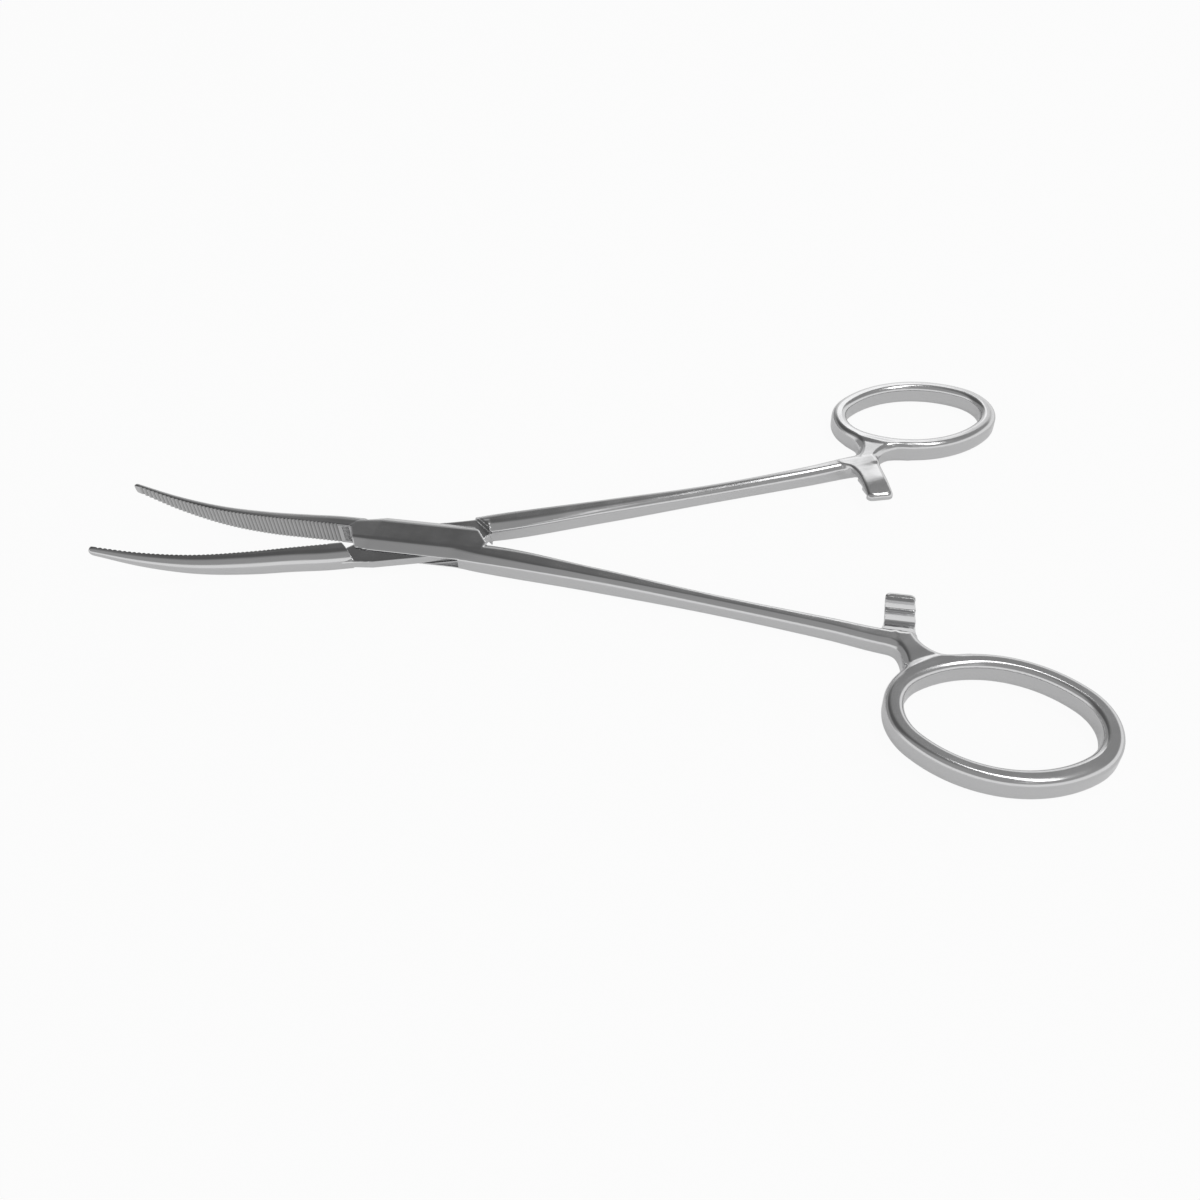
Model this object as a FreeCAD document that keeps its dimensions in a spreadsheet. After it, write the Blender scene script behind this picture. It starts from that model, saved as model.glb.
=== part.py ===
import FreeCAD, Part
import os
import re
import Sketcher
from FreeCAD import Placement, Rotation, Vector

# Curved haemostatic forceps with a box lock, in millimetres.
# The lock's axis is Z through the origin, and the lock's underside is z = 0.
# Each half is drawn closed, with its ring towards +X and its jaw towards -X.
# Across is the distance from the centre line towards the half's own ring: its jaw is at negative values.

doc = FreeCAD.newDocument("Forceps")
sheet = doc.addObject("Spreadsheet::Sheet", "Sizes")

sizes = {
    # whole instrument
    "rest_opening": 17.7,       # degrees between the halves as modelled
    "face_gap": 0.06,           # between the closed jaw faces
    # box lock
    "box_thick": 4.0,
    "box_width": 8.8,
    "box_bevel": 1.9,           # bevel across the top of the box
    "box_bevel_drop": 1.1,      # bevel down its side
    "slot_high": 1.5,           # height of the slot that the tongue passes through
    "slide_gap": 0.05,          # above and below the tongue
    "seat_gap": 0.15,           # between edges that come together when the jaws close
    "slot_end": 6.75,           # where the slot ends at the box's sides
    "flare_start": 5.0,         # where the box starts to widen into the shank
    "crotch": 10.6,             # where the two shanks part
    "crotch_gap": 0.24,         # between the closed shanks there
    "wall_end": 7.0,            # where a wall of the box ends at its side, towards the rings
    "shoulder_relief": 0.9,     # the tongue half's shoulder stands this much further out there
    "jaw_shoulder": 14.0,       # where the walls end at the centre line, towards the jaws
    "jaw_shoulder_side": 11.5,  # where they end at the side
    "flank_start": 9.0,         # where the box starts to narrow into the jaw
    "flank_width": 3.4,
    "pin_radius": 1.4,
    "pin_gap": 0.04,            # running clearance round the pin in the tongue
    # jaw
    "jaw_root": 16.0,
    "jaw_root_width": 3.6,
    "jaw_root_high": 3.9,
    "jaw_1_at": 23.0,
    "jaw_1_width": 3.1,
    "jaw_2_at": 30.0,           # where the jaw starts to curve up
    "jaw_2_width": 2.75,
    "jaw_2_high": 3.8,
    "jaw_3_at": 40.0,
    "jaw_3_width": 2.2,
    "jaw_3_high": 3.15,
    "jaw_3_rise": 0.85,         # rise of the middle of the section
    "jaw_4_at": 47.5,
    "jaw_4_width": 1.65,
    "jaw_4_high": 2.4,
    "jaw_4_rise": 2.65,
    "tip_at": 54.9,
    "tip_width": 1.05,
    "tip_high": 1.4,
    "tip_rise": 5.4,
    "tip_round": 0.3,
    "groove_pitch": 0.72,
    "groove_deep": 0.28,
    "groove_count": 52,
    # shank, at the box and at four places along it
    "shank_outer": 4.85,
    "shank_root_bevel": 1.0,
    "shank_root_drop": 0.8,
    "shank_bevel": 0.85,
    "shank_1_at": 30.0,
    "shank_1_across": 4.4,
    "shank_1_width": 3.6,
    "shank_1_thick": 3.65,
    "shank_2_at": 48.0,
    "shank_2_across": 6.6,
    "shank_2_width": 2.8,
    "shank_2_thick": 3.3,
    "shank_3_at": 66.0,
    "shank_3_across": 9.1,
    "shank_3_width": 3.0,
    "shank_3_thick": 3.4,
    "shank_4_across": 10.7,
    "shank_4_width": 3.4,
    "shank_4_thick": 3.6,
    # finger ring
    "ring_at": 89.1,
    "ring_across": 23.4,
    "ring_long": 13.5,          # half length of the ring's middle line
    "ring_wide": 9.95,          # half width of the ring's middle line
    "ring_end_radius": 7.8,     # radius of the middle line at the ring's two ends
    "ring_bar": 2.7,
    "ring_high": 3.6,
    "ring_bevel": 0.95,
    # web between shank, arm and ring
    "web_low": 0.15,            # level of its underside
    "web_high": 3.5,            # level of its top
    "web_start": 67.5,
    "web_heel_at": 74.9,        # where its outer edge leaves the shank
    "web_heel_across": 11.75,
    "web_heel_radius": 6.0,
    "web_heel_angle": 203.0,    # where that edge meets the ring, in degrees
    "web_toe_angle": 256.0,     # where its inner edge meets the ring
    "web_toe_radius": 5.4,
    # ratchet arm
    "arm_at": 76.4,
    "arm_width": 4.4,
    "arm_spread": 0.9,          # the arm is this much wider at its root, towards the lock
    "arm_root_length": 4.0,
    "arm_root_radius": 9.0,
    "arm_root_deep": 1.2,       # how far the arm runs into the web
    "arm_past": 0.2,            # how far the arm reaches past the centre line
    "arm_thick": 1.45,
    "arm_end_thick": 1.0,
    "arm_gap": 0.1,             # between the toothed faces of the two arms
    "arm_corner": 0.7,
    "tooth_pitch": 2.6,
    "tooth_deep": 0.6,
    "tooth_bar": 1.0,           # flat bar at the arm's end
    "tooth_count": 3,
}
for row, (name, value) in enumerate(sizes.items(), start=1):
    sheet.set(f"A{row}", name)
    sheet.set(f"B{row}", str(value))
    sheet.setAlias(f"B{row}", name)
doc.recompute()

over = 2.0  # how far a cut runs past the metal it removes
bite = 0.3  # how far joined pieces run into each other


def size(name):
    """Read one driving size from the sheet."""
    return float(getattr(sheet, name))


def named(text):
    """Turn the words of a formula that are sizes into references to the sheet."""
    return re.sub(r"[a-z]\w*", lambda word: "Sizes." * (word[0] in sizes) + word[0], text)


def number(item, text):
    value = item.evalExpression(named(text))
    return float(getattr(value, "Value", value))


def drive(item, path, text):
    """Tie a property of an object to a formula of sizes."""
    item.setExpression(path, named(text))


def new_sketch(body, name, role, offset="0"):
    """Add a sketch on one of the body's origin planes, moved along the plane's normal."""
    sketch = body.newObject("Sketcher::SketchObject", name)
    plane = next(part for part in body.Origin.OriginFeatures if part.Role == role)
    sketch.AttachmentSupport = (plane, [""])
    sketch.MapMode = "FlatFace"
    drive(sketch, "AttachmentOffset.Base.z", offset)
    return sketch


def drive_point(sketch, geometry, end, across, up):
    """Tie one point of a sketch to two formulas."""
    for kind, text in (("DistanceX", across), ("DistanceY", up)):
        constraint = Sketcher.Constraint(kind, -1, 1, geometry, end, number(sketch, text))
        index = sketch.addConstraint(constraint)
        drive(sketch, f"Constraints[{index}]", text)


def drive_value(sketch, kind, geometry, text):
    index = sketch.addConstraint(Sketcher.Constraint(kind, geometry, number(sketch, text)))
    drive(sketch, f"Constraints[{index}]", text)


def draw_outline(sketch, corners, arcs=None):
    """Draw a closed outline through corners given as pairs of formulas.

    arcs gives the edges that are arcs: edge number to (radius, side), the side being +1 or -1
    for a centre to the left or right of the edge's chord.
    """
    arcs = arcs or {}
    points = [Vector(number(sketch, a), number(sketch, b), 0) for a, b in corners]
    first = sketch.GeometryCount
    ends = []
    for i, start in enumerate(points):
        stop = points[(i + 1) % len(points)]
        if i not in arcs:
            sketch.addGeometry(Part.LineSegment(start, stop), False)
            ends.append((1, 2))
            continue
        text, turn = arcs[i]
        radius = number(sketch, text)
        half = (stop - start) * 0.5
        left = Vector(-half.y, half.x, 0).normalize() * turn
        depth = max(radius ** 2 - half.Length ** 2, 0.0) ** 0.5
        middle = start + half + left * (depth - radius)
        index = sketch.addGeometry(Part.Arc(start, middle, stop), False)
        forward = sketch.getPoint(index, 1).distanceToPoint(start) < sketch.getPoint(index, 1).distanceToPoint(stop)
        ends.append((1, 2) if forward else (2, 1))
        drive_value(sketch, "Radius", index, text)
    for i, corner in enumerate(corners):
        after = (i + 1) % len(corners)
        sketch.addConstraint(Sketcher.Constraint(
            "Coincident", first + i, ends[i][1], first + after, ends[after][0]))
        drive_point(sketch, first + i, ends[i][0], *corner)


def draw_circle(sketch, radius):
    sketch.addGeometry(Part.Circle(Vector(), Vector(0, 0, 1), number(sketch, radius)), False)
    sketch.addConstraint(Sketcher.Constraint("Coincident", 0, 3, -1, 1))
    drive_value(sketch, "Radius", 0, radius)


def draw_bevelled(sketch, inner, outer, thick, bevel, drop):
    """Draw a rectangle with four bevelled corners, standing on z = 0."""
    draw_outline(sketch, [
        (f"{inner} + {bevel}", "0"), (f"{outer} - {bevel}", "0"),
        (outer, drop), (outer, f"{thick} - {drop}"),
        (f"{outer} - {bevel}", thick), (f"{inner} + {bevel}", thick),
        (inner, f"{thick} - {drop}"), (inner, drop)])


def add(body, kind, name, sketch, length, reverse=False):
    """Add a pad or pocket of a driven length, and check that it changed the solid."""
    before = body.Shape.Volume if body.Tip else 0.0
    feature = body.newObject(f"PartDesign::{kind}", name)
    feature.Profile = sketch
    drive(feature, "Length", length)
    feature.Reversed = reverse
    doc.recompute()
    change = body.Shape.Volume - before
    if (kind == "Pad") != (change > 0):
        raise RuntimeError(f"{name} changed the volume by {change:.3f}")
    return feature


def loft(body, name, sketches, ruled):
    feature = body.newObject("PartDesign::AdditiveLoft", name)
    feature.Profile = sketches[0]
    feature.Sections = sketches[1:]
    feature.Ruled = ruled
    doc.recompute()
    return feature


def repeat(body, name, original, direction, pitch, count, reverse):
    """Repeat a cut along one axis of the body."""
    pattern = body.newObject("PartDesign::LinearPattern", name)
    pattern.Originals = [original]
    axis = next(part for part in body.Origin.OriginFeatures if part.Role == direction)
    pattern.Direction = (axis, [""])
    pattern.Reversed = reverse
    drive(pattern, "Length", f"{pitch} * ( {count} - 1 )")
    drive(pattern, "Occurrences", count)
    body.Tip = pattern
    doc.recompute()
    return pattern


def make_jaw(body, sign):
    """Loft the curved jaw: a flat face towards the other jaw and a half-round back."""
    face = f"{-sign} * face_gap / 2"
    sketches = []
    # place along the jaw, width, height and rise there
    stations = [
        ("flank_start", "jaw_root_width", "jaw_root_high", "0"),
        ("jaw_root", "jaw_root_width", "jaw_root_high", "0"),
        ("jaw_1_at", "jaw_1_width", "jaw_root_high", "0"),
        ("jaw_2_at", "jaw_2_width", "jaw_2_high", "0"),
        ("jaw_3_at", "jaw_3_width", "jaw_3_high", "jaw_3_rise"),
        ("jaw_4_at", "jaw_4_width", "jaw_4_high", "jaw_4_rise"),
        ("tip_at", "tip_width", "tip_high", "tip_rise"),
    ]
    for i, (place, width, high, rise) in enumerate(stations):
        sketch = new_sketch(body, f"jaw_section_{i + 1}", "YZ_Plane", f"-1 * {place}")
        middle = f"box_thick / 2 + {rise}"
        low = f"{middle} - {high} / 2"
        top = f"{middle} + {high} / 2"
        turn = f"{face} - {sign} * ( {width} - {high} / 2 )"
        draw_half_round(sketch, face, turn, low, top, sign)
        sketches.append(sketch)
    loft(body, "jaw", sketches, False)
    tip = -size("tip_at")
    ease_edges(body, "Fillet", "tip_rounds", "Radius", "tip_round", lambda edge: edge.BoundBox.XMax < tip + bite / 2)


def draw_half_round(sketch, face, turn, low, top, sign):
    """Draw the jaw's section: three straight sides and a half circle for the back."""
    y_face, y_turn, z_low, z_top = (number(sketch, text) for text in (face, turn, low, top))
    corners = [Vector(y_turn, z_low, 0), Vector(y_face, z_low, 0), Vector(y_face, z_top, 0), Vector(y_turn, z_top, 0)]
    for start, stop in zip(corners, corners[1:]):
        sketch.addGeometry(Part.LineSegment(start, stop), False)
    radius = (z_top - z_low) / 2
    back = Vector(y_turn - sign * radius, (z_low + z_top) / 2, 0)
    arc = sketch.addGeometry(Part.Arc(corners[3], back, corners[0]), False)
    starts_on_top = sketch.getPoint(arc, 1).y > sketch.getPoint(arc, 2).y
    arc_top, arc_low = (1, 2) if starts_on_top else (2, 1)
    for geometry, end, across, up in ((0, 1, turn, low), (1, 1, face, low), (2, 1, face, top), (2, 2, turn, top)):
        drive_point(sketch, geometry, end, across, up)
    for first, end, second, other in ((0, 2, 1, 1), (1, 2, 2, 1), (2, 2, arc, arc_top), (0, 1, arc, arc_low)):
        sketch.addConstraint(Sketcher.Constraint("Coincident", first, end, second, other))
    index = sketch.addConstraint(Sketcher.Constraint("DistanceX", -1, 1, arc, 3, y_turn))
    drive(sketch, f"Constraints[{index}]", turn)


def make_grooves(body, sign):
    """Cut the row of cross grooves in the jaw's face."""
    face = f"{-sign} * face_gap / 2"
    start = "jaw_root + groove_pitch"
    sketch = new_sketch(body, "groove_profile", "XY_Plane")
    draw_outline(sketch, [
        (f"-1 * ( {start} ) + groove_pitch / 2", face),
        (f"-1 * ( {start} )", f"{face} - {sign} * groove_deep"),
        (f"-1 * ( {start} ) - groove_pitch / 2", face)])
    groove = add(body, "Pocket", "groove", sketch, "box_thick * 2 + tip_rise", reverse=True)
    repeat(body, "grooves", groove, "X_Axis", "groove_pitch", "groove_count", True)


def side(sign, text):
    """Give an across value as a y value of the half."""
    return f"{sign} * ( {text} )"


def make_box(body, sign):
    """Loft the lock's blank with bevelled sides: it narrows to the jaw and widens to the shank."""
    half_width = "box_width / 2"
    stations = [
        ("-1 * jaw_root", "flank_width"), ("-1 * flank_start", half_width),
        ("flare_start", half_width), ("crotch", half_width)]
    sketches = []
    for i, (place, jaw_side) in enumerate(stations):
        outer = "shank_outer" if place == "crotch" else half_width
        low, high = (f"-1 * {jaw_side}", outer) if sign > 0 else (f"-1 * {outer}", jaw_side)
        sketch = new_sketch(body, f"box_section_{i + 1}", "YZ_Plane", place)
        draw_bevelled(sketch, low, high, "box_thick", "box_bevel", "box_bevel_drop")
        sketches.append(sketch)
    loft(body, "box_blank", sketches, True)


def cut_plan(body, name, sign, outlines, offset, length, reverse):
    """Cut outlines, given as x and across, from a level upwards or downwards."""
    sketch = new_sketch(body, f"{name}_outline", "XY_Plane", offset)
    for outline in outlines:
        draw_outline(sketch, [(x, side(sign, across)) for x, across in outline])
    return add(body, "Pocket", name, sketch, length, reverse)


def trim_box_half(body, sign):
    """Cut the ends of the box's walls to the lines where the other half's shoulders stand."""
    beyond = f"box_width / 2 + {over}"
    jaw_end = [
        (f"-1 * jaw_root - {over}", "-1 * face_gap / 2"), ("-1 * jaw_shoulder", "-1 * face_gap / 2"),
        ("-1 * jaw_shoulder_side", "box_width / 2"), ("-1 * jaw_shoulder_side", beyond),
        (f"-1 * jaw_root - {over}", beyond)]
    ring_end = [
        ("wall_end", "-1 * box_width / 2"), ("crotch - seat_gap", "crotch_gap / 2"),
        (f"crotch + {over}", "crotch_gap / 2"), (f"crotch + {over}", f"-1 * ( {beyond} )"),
        ("wall_end", f"-1 * ( {beyond} )")]
    cut_plan(body, "wall_ends", sign, [jaw_end, ring_end], "0", "box_thick", True)


def trim_tongue_half(body, sign):
    """Cut the tongue's ends to clear the solid ends of the slot."""
    beyond = f"box_width / 2 + {over}"
    jaw_end = [
        (f"-1 * jaw_root - {over}", "-1 * face_gap / 2"), ("seat_gap - jaw_shoulder", "-1 * face_gap / 2"),
        ("seat_gap - slot_end", "box_width / 2"), ("seat_gap - slot_end", beyond),
        (f"-1 * jaw_root - {over}", beyond)]
    ring_end = [
        ("slot_end - seat_gap", "-1 * box_width / 2"), ("crotch - seat_gap", "-1 * crotch_gap / 2"),
        ("crotch - seat_gap / 2", "crotch_gap / 2"), (f"crotch + {over}", "crotch_gap / 2"),
        (f"crotch + {over}", f"-1 * ( {beyond} )"), ("slot_end - seat_gap", f"-1 * ( {beyond} )")]
    cut_plan(body, "tongue_ends", sign, [jaw_end, ring_end], "0", "box_thick", True)


def make_shank(body, sign):
    """Loft the shank from the box to the ring: straight beside the box, then spreading outwards."""
    stations = [
        ("flare_start", "crotch_gap / 2", "box_width / 2", "box_thick", "box_bevel", "box_bevel_drop"),
        ("crotch", "crotch_gap / 2", "shank_outer", "box_thick", "shank_root_bevel", "shank_root_drop")]
    for i in range(1, 5):
        place = "arm_at" if i == 4 else f"shank_{i}_at"
        inner = f"shank_{i}_across - shank_{i}_width / 2"
        outer = f"shank_{i}_across + shank_{i}_width / 2"
        stations.append((place, inner, outer, f"shank_{i}_thick", "shank_bevel", "shank_bevel"))
    sketches = []
    for i, (place, inner, outer, thick, bevel, drop) in enumerate(stations):
        low, high = (inner, outer) if sign > 0 else (f"-1 * ( {outer} )", f"-1 * ( {inner} )")
        sketch = new_sketch(body, f"shank_section_{i + 1}", "YZ_Plane", place)
        draw_bevelled(sketch, low, high, thick, bevel, drop)
        sketches.append(sketch)
    loft(body, "shank_root", sketches[:2], True)
    loft(body, "shank", sketches[1:], False)


def ring_oval(sign, reach):
    """Give the corners and arcs of the ring's oval: four tangent arcs, moved outwards by reach."""
    turn = "( ring_long - ring_end_radius )"
    side_radius = (f"( ( {turn} ^ 2 + ring_wide ^ 2 - ring_end_radius ^ 2 )"
                   " / ( 2 * ( ring_wide - ring_end_radius ) ) )")
    spread = f"( {side_radius} - ring_end_radius )"
    out = f"( {turn} + ( ring_end_radius + {reach} ) * {turn} / {spread} )"
    up = f"( ( ring_end_radius + {reach} ) * ( {side_radius} - ring_wide ) / {spread} )"
    corners = [(f"ring_at {x} {out}", side(sign, f"ring_across {y} {up}"))
               for x, y in (("-", "-"), ("+", "-"), ("+", "+"), ("-", "+"))]
    radii = (side_radius, "ring_end_radius")
    return corners, {i: (f"{radii[i % 2]} + {reach}", sign) for i in range(4)}


def ease_edges(body, kind, name, measure, value, chosen):
    """Fillet or chamfer the edges of the body that the given test picks."""
    base = body.Tip
    names = [f"Edge{i}" for i, edge in enumerate(base.Shape.Edges, start=1) if chosen(edge)]
    feature = body.newObject(f"PartDesign::{kind}", name)
    feature.Base = (base, names)
    drive(feature, measure, value)
    doc.recompute()


def make_ring(body, sign):
    """Pad the oval finger ring and take the edges off its bar."""
    sketch = new_sketch(body, "ring_outline", "XY_Plane", "box_thick / 2 - ring_high / 2")
    draw_outline(sketch, *ring_oval(sign, "ring_bar / 2"))
    draw_outline(sketch, *ring_oval(sign, "-1 * ring_bar / 2"))
    add(body, "Pad", "ring", sketch, "ring_high")
    ease_edges(body, "Chamfer", "ring_bevels", "Size", "ring_bevel", lambda edge: edge.BoundBox.ZLength < bite)


def on_ring(angle, reach="0"):
    """Give a point of the ring's middle line, or beside it, at an angle in degrees."""
    return (f"ring_at + ( ring_long + {reach} ) * cos( {angle} )",
            f"ring_across + ( ring_wide + {reach} ) * sin( {angle} )")


def make_web(body, sign):
    """Pad the flat web that joins shank, arm and ring."""
    steps = 4
    along = [on_ring(f"web_toe_angle + ( web_heel_angle - web_toe_angle ) * {i} / {steps}")
             for i in range(steps + 1)]
    edge = f"ring_bar / 2 - {bite}"
    corners = [
        ("web_start", "shank_3_across"),
        (f"arm_at + arm_width / 2 - {bite}", "shank_4_across - shank_4_width / 2"),
        on_ring("web_toe_angle", edge), *along, on_ring("web_heel_angle", edge),
        ("web_heel_at", "web_heel_across")]
    sketch = new_sketch(body, "web_outline", "XY_Plane", "web_low")
    arcs = {1: ("web_toe_radius", -sign), len(corners) - 2: ("web_heel_radius", -sign)}
    draw_outline(sketch, [(x, side(sign, across)) for x, across in corners], arcs)
    add(body, "Pad", "web", sketch, "web_high - web_low")


def make_arm(body, sign, face, into):
    """Pad the ratchet arm towards the other half and thin its end.

    face is the level of its toothed face, and into is +1 where the arm lies above it, -1 below.
    """
    reach = "-1 * arm_past"
    near, far = "arm_at - arm_width / 2", "arm_at + arm_width / 2"
    root = "shank_4_across - shank_4_width / 2"
    corners = [
        (f"{near} - arm_spread", f"{root} + {bite}"), (near, f"{root} - arm_root_length"),
        (near, f"{reach} + arm_corner"), (f"{near} + arm_corner", reach),
        (f"{far} - arm_corner", reach), (far, f"{reach} + arm_corner"),
        (far, f"{root} + arm_root_deep"), (near, f"{root} + arm_root_deep")]
    sketch = new_sketch(body, "arm_outline", "XY_Plane", face)
    arcs = {0: ("arm_root_radius", -sign), 2: ("arm_corner", sign), 4: ("arm_corner", sign)}
    draw_outline(sketch, [(x, side(sign, across)) for x, across in corners], arcs)
    add(body, "Pad", "ratchet_arm", sketch, "arm_thick", reverse=into < 0)
    beyond = f"{face} + {into} * ( arm_thick + {over} )"
    back = [
        (f"{root} - arm_root_length", beyond), (f"{root} - arm_root_length", f"{face} + {into} * arm_thick"),
        (reach, f"{face} + {into} * arm_end_thick"), (f"{reach} - {over}", f"{face} + {into} * arm_end_thick"),
        (f"{reach} - {over}", beyond)]
    sketch = new_sketch(body, "arm_back_outline", "YZ_Plane", f"{near} - {bite}")
    draw_outline(sketch, [(side(sign, across), up) for across, up in back])
    add(body, "Pocket", "arm_back", sketch, f"arm_width + 2 * {bite}", reverse=True)


def cut_teeth(body, sign, face, into):
    """Cut the ratchet's saw teeth into the arm's face. into is +1 to cut upwards, -1 downwards."""
    crest = "tooth_bar - arm_past"
    sketch = new_sketch(body, "tooth_profile", "YZ_Plane", "arm_at - arm_width")
    corners = [
        (crest, f"{face} - {into} * {bite}"), (crest, f"{face} + {into} * tooth_deep"),
        (f"{crest} + tooth_pitch", face), (f"{crest} + tooth_pitch", f"{face} - {into} * {bite}")]
    draw_outline(sketch, [(side(sign, across), up) for across, up in corners])
    tooth = add(body, "Pocket", "tooth", sketch, "arm_width * 2", reverse=True)
    repeat(body, "teeth", tooth, "Y_Axis", "tooth_pitch", "tooth_count", sign < 0)


def cut_slot(body, sign):
    """Cut the slot through the box for the other half's tongue."""
    beyond = f"box_width / 2 + {over}"
    outline = [
        ("slot_end", beyond), ("slot_end", "box_width / 2"), ("crotch", "crotch_gap / 2"),
        ("crotch", f"-1 * ( {beyond} )"), ("-1 * slot_end", f"-1 * ( {beyond} )"),
        ("-1 * slot_end", "-1 * box_width / 2"), ("-1 * jaw_shoulder", "-1 * face_gap / 2"),
        ("-1 * jaw_shoulder", beyond)]
    cut_plan(body, "slot", sign, [outline], "box_thick / 2 + slot_high / 2", "slot_high", False)


def cut_cheeks(body, sign):
    """Thin the tongue from above and below, between its two shoulders."""
    beyond = f"box_width / 2 + {over}"
    outline = [
        ("-1 * jaw_shoulder - seat_gap", beyond), ("-1 * jaw_shoulder - seat_gap", "-1 * face_gap / 2"),
        ("-1 * jaw_shoulder_side - seat_gap", "-1 * box_width / 2"),
        ("-1 * jaw_shoulder_side - seat_gap", f"-1 * ( {beyond} )"),
        (f"crotch + {over}", f"-1 * ( {beyond} )"), (f"crotch + {over}", "-1 * crotch_gap / 2"),
        ("crotch - seat_gap / 2", "crotch_gap / 2"),
        ("wall_end + shoulder_relief", "box_width / 2"), ("wall_end + shoulder_relief", beyond)]
    depth = "box_thick / 2 - slot_high / 2 + slide_gap"
    cut_plan(body, "cheek_top", sign, [outline], "box_thick", depth, False)
    cut_plan(body, "cheek_underside", sign, [outline], "0", depth, True)
    flank = [
        (f"flare_start - {over}", "box_width / 2"), ("wall_end + shoulder_relief", "box_width / 2"),
        ("wall_end + shoulder_relief", beyond), (f"flare_start - {over}", beyond)]
    cut_plan(body, "tongue_flank", sign, [flank], "0", "box_thick", True)


def cut_pin_hole(body, radius):
    sketch = new_sketch(body, "pin_hole_outline", "XY_Plane")
    draw_circle(sketch, radius)
    add(body, "Pocket", "pin_hole", sketch, "box_thick", reverse=True)


def make_half(name, sign, is_box):
    """Build one half. sign is +1 where its ring is at +Y, -1 where it is at -Y."""
    body = doc.addObject("PartDesign::Body", name)
    body.Label = name
    make_ring(body, sign)
    make_jaw(body, sign)
    make_grooves(body, sign)
    make_box(body, sign)
    if is_box:
        trim_box_half(body, sign)
    else:
        trim_tongue_half(body, sign)
    make_shank(body, sign)
    make_web(body, sign)
    if is_box:
        face = "box_thick / 2 - arm_gap / 2"
        make_arm(body, sign, face, -1)
        cut_teeth(body, sign, face, -1)
        cut_slot(body, sign)
        cut_pin_hole(body, "pin_radius")
    else:
        face = "box_thick / 2 + arm_gap / 2"
        make_arm(body, sign, face, 1)
        cut_teeth(body, sign, face, 1)
        cut_cheeks(body, sign)
        cut_pin_hole(body, "pin_radius + pin_gap")
    turn = sign * size("rest_opening") / 2
    body.Placement = Placement(Vector(), Rotation(Vector(0, 0, 1), turn))
    return body


def make_pin():
    """The pin is riveted in the box's walls and ground flush."""
    body = doc.addObject("PartDesign::Body", "joint_pin")
    body.Label = "joint_pin"
    sketch = new_sketch(body, "pin_outline", "XY_Plane")
    draw_circle(sketch, "pin_radius")
    add(body, "Pad", "pin", sketch, "box_thick")
    return body


parts = [make_half("box_half", -1, True), make_half("tongue_half", 1, False), make_pin()]
doc.recompute()

for item in doc.Objects:
    if "Invalid" in item.State or "Error" in item.State:
        raise RuntimeError(f"{item.Name} failed: {item.State}")
os.makedirs("parts", exist_ok=True)
for body in parts:
    if body.Shape.isNull() or not body.Shape.isValid() or len(body.Shape.Solids) != 1:
        raise RuntimeError(f"{body.Label} is not one valid solid")
    body.Shape.exportStep(f"parts/{body.Label}.step")
    print(body.Label, round(body.Shape.Volume, 1), "mm3", len(body.Shape.Faces), "faces")
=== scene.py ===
import math

import bmesh
import bpy
import numpy as np
from mathutils import Matrix, Vector


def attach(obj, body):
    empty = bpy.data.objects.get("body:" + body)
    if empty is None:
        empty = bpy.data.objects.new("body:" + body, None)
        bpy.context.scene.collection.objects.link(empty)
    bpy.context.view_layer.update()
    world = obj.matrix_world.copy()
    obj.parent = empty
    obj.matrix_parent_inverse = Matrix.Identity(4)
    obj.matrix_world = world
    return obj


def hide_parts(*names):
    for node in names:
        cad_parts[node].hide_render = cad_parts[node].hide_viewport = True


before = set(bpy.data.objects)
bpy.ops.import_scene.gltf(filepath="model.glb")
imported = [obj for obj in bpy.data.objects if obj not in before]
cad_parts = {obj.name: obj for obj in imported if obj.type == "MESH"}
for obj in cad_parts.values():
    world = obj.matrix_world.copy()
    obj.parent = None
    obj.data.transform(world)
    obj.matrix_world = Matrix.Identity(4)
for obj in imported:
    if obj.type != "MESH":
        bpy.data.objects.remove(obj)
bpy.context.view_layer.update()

print("frame loaded:", len(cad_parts), "nodes")

mm = 0.001
opening = math.radians(17.7)  # between the halves as modelled

# Each half is worked out closed, in millimetres: x from the joint to the ring, u across towards
# its own ring, z up. Its jaw lies at negative x and negative u.


def makeObject(name, points, faces, body, material):
    # puts points (n, 3) in metres and faces (m, 4) into a mesh that rides on a body
    mesh = bpy.data.meshes.new(name)
    mesh.from_pydata(points, [], faces)
    mesh.update()
    mesh.shade_smooth()
    piece = bpy.data.objects.new(name, mesh)
    bpy.context.scene.collection.objects.link(piece)
    piece.data.materials.append(material)
    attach(piece, body)
    return piece


def placeHalf(points, side):
    # turns closed (x, u, z) millimetres into the half's place at rest, in metres
    x, y, z = points[:, 0], side * points[:, 1], points[:, 2]
    turn = side * opening / 2
    return np.stack([
        x * math.cos(turn) - y * math.sin(turn),
        x * math.sin(turn) + y * math.cos(turn), z], axis=1) * mm


def smoothCurve(places, values):
    # cubic through the given stations, with the slope at each taken from its neighbours
    places, values = np.array(places, float), np.array(values, float)
    slopes = np.gradient(values, places)

    def at(x):
        x = np.clip(x, places[0], places[-1])
        i = np.clip(np.searchsorted(places, x, side="right") - 1, 0, len(places) - 2)
        gap = places[i + 1] - places[i]
        t = (x - places[i]) / gap
        return ((1 + 2 * t) * (1 - t) ** 2 * values[i] + t * (1 - t) ** 2 * gap * slopes[i]
                + t ** 2 * (3 - 2 * t) * values[i + 1] + t ** 2 * (t - 1) * gap * slopes[i + 1])
    return at


def joined(a, b, soft):
    # distance to the union of two bodies, with a fillet about as wide as soft
    blend = np.maximum(soft - np.abs(a - b), 0) / soft
    return np.minimum(a, b) - blend ** 2 * soft / 4


def common(a, b, soft):
    # distance to what two bodies share, with its edge rounded
    return -joined(-a, -b, soft)


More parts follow.
